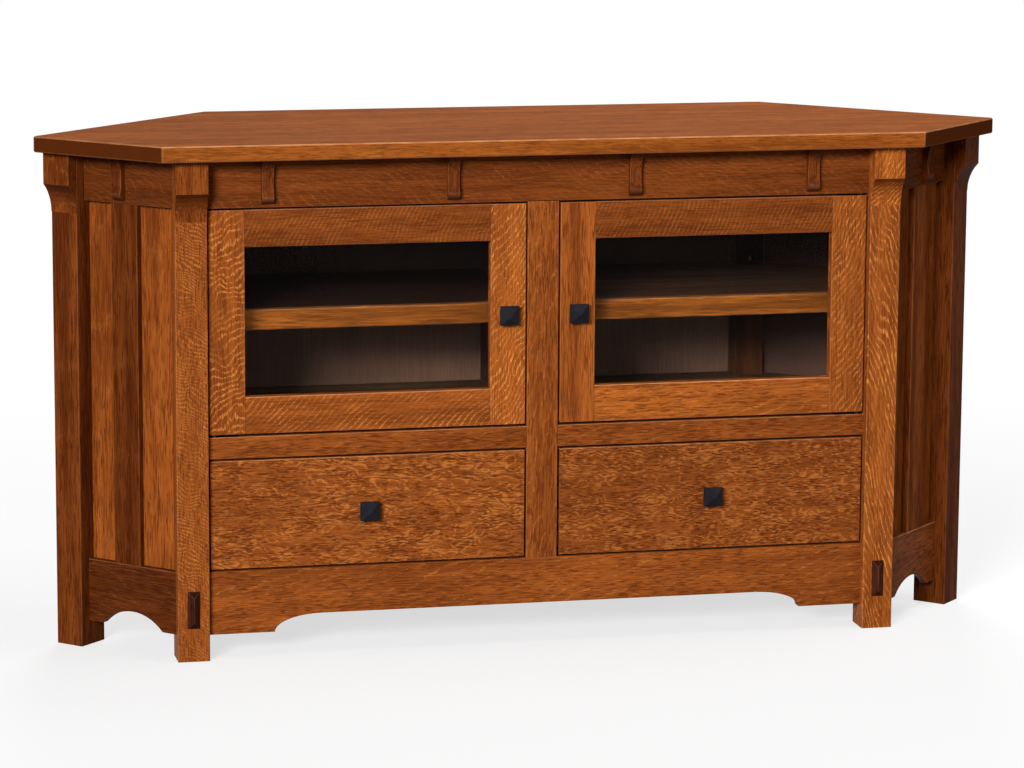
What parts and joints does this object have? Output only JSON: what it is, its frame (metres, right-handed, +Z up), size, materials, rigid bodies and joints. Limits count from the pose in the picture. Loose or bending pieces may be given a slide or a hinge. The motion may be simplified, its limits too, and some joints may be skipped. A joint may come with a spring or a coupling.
{
  "type": "corner cabinet",
  "caption": "Low corner media cabinet in oak with canted sides, glass doors over drawers, bracketed posts and an arched apron.",
  "frame": {"origin": "on the floor, in the middle of the plan's bounding box", "axes": "+X to the right of a viewer who faces the doors, +Y back towards the corner of the room, +Z up"},
  "size_m": [1.5874, 0.4952, 0.8255],
  "materials": {
    "oak": "stained quartersawn oak, satin",
    "case_oak": "dark stained oak, plain, inside the case",
    "drawer_wood": "pale hardwood, clear lacquer",
    "plywood": "dark stained oak plywood",
    "dark_plug_wood": "very dark stained wood",
    "glass": "clear smooth",
    "black_iron": "blackened, satin",
    "brass": "aged",
    "steel": "plain",
    "brown_plastic": "matt"
  },
  "bodies": {
    "cabinet": {"bottom_deck": "case_oak", "centre_stile": "oak", "drawer_runners": "case_oak", "frame_hinge_leaves": "brass", "front_apron": "oak", "front_corbels": "oak", "front_frieze": "oak", "front_post_left": "oak", "front_post_right": "oak", "lower_divider": "case_oak", "magnet_catches": "brown_plastic", "mid_rails": "oak", "middle_deck": "case_oak", "post_brackets": "oak", "rear_panel": "plywood", "rear_posts": "case_oak", "shelf_edges": "oak", "shelf_left": "case_oak", "shelf_pins": "steel", "shelf_right": "case_oak", "side_apron_left": "oak", "side_apron_right": "oak", "side_corbels": "oak", "side_frieze_left": "oak", "side_frieze_right": "oak", "side_panels": "oak", "side_rails": "oak", "side_stiles": "oak", "tenon_plugs": "dark_plug_wood", "top_cleats": "case_oak", "top_slab": "oak", "upper_divider": "case_oak", "wall_panels": "plywood", "wall_post_left": "oak", "wall_post_right": "oak"},
    "door_left": {"door_glass_left": "glass", "door_hinge_leaves_left": "brass", "door_knob_left": "black_iron", "door_rails_left": "oak", "door_stiles_left": "oak", "glazing_beads_left": "oak", "strike_plate_left": "steel"},
    "door_right": {"door_glass_right": "glass", "door_hinge_leaves_right": "brass", "door_knob_right": "black_iron", "door_rails_right": "oak", "door_stiles_right": "oak", "glazing_beads_right": "oak", "strike_plate_right": "steel"},
    "drawer_left": {"drawer_back_left": "drawer_wood", "drawer_bottom_left": "plywood", "drawer_front_left": "oak", "drawer_knob_left": "black_iron", "drawer_sides_left": "drawer_wood"},
    "drawer_right": {"drawer_back_right": "drawer_wood", "drawer_bottom_right": "plywood", "drawer_front_right": "oak", "drawer_knob_right": "black_iron", "drawer_sides_right": "drawer_wood"}
  },
  "joints": [
    {"name": "door_left_hinge", "type": "hinge", "parent": "cabinet", "child": "door_left", "pos_m": [-0.52902, -0.1862, 0.539], "axis": [0, 0, -1], "range_deg": [0, 100]},
    {"name": "door_right_hinge", "type": "hinge", "parent": "cabinet", "child": "door_right", "pos_m": [0.52902, -0.1862, 0.539], "axis": [0, 0, 1], "range_deg": [0, 100]},
    {"name": "drawer_left_slide", "type": "slide", "parent": "cabinet", "child": "drawer_left", "axis": [0, -1, 0], "range_m": [0, 0.26]},
    {"name": "drawer_right_slide", "type": "slide", "parent": "cabinet", "child": "drawer_right", "axis": [0, -1, 0], "range_m": [0, 0.26]}
  ]
}
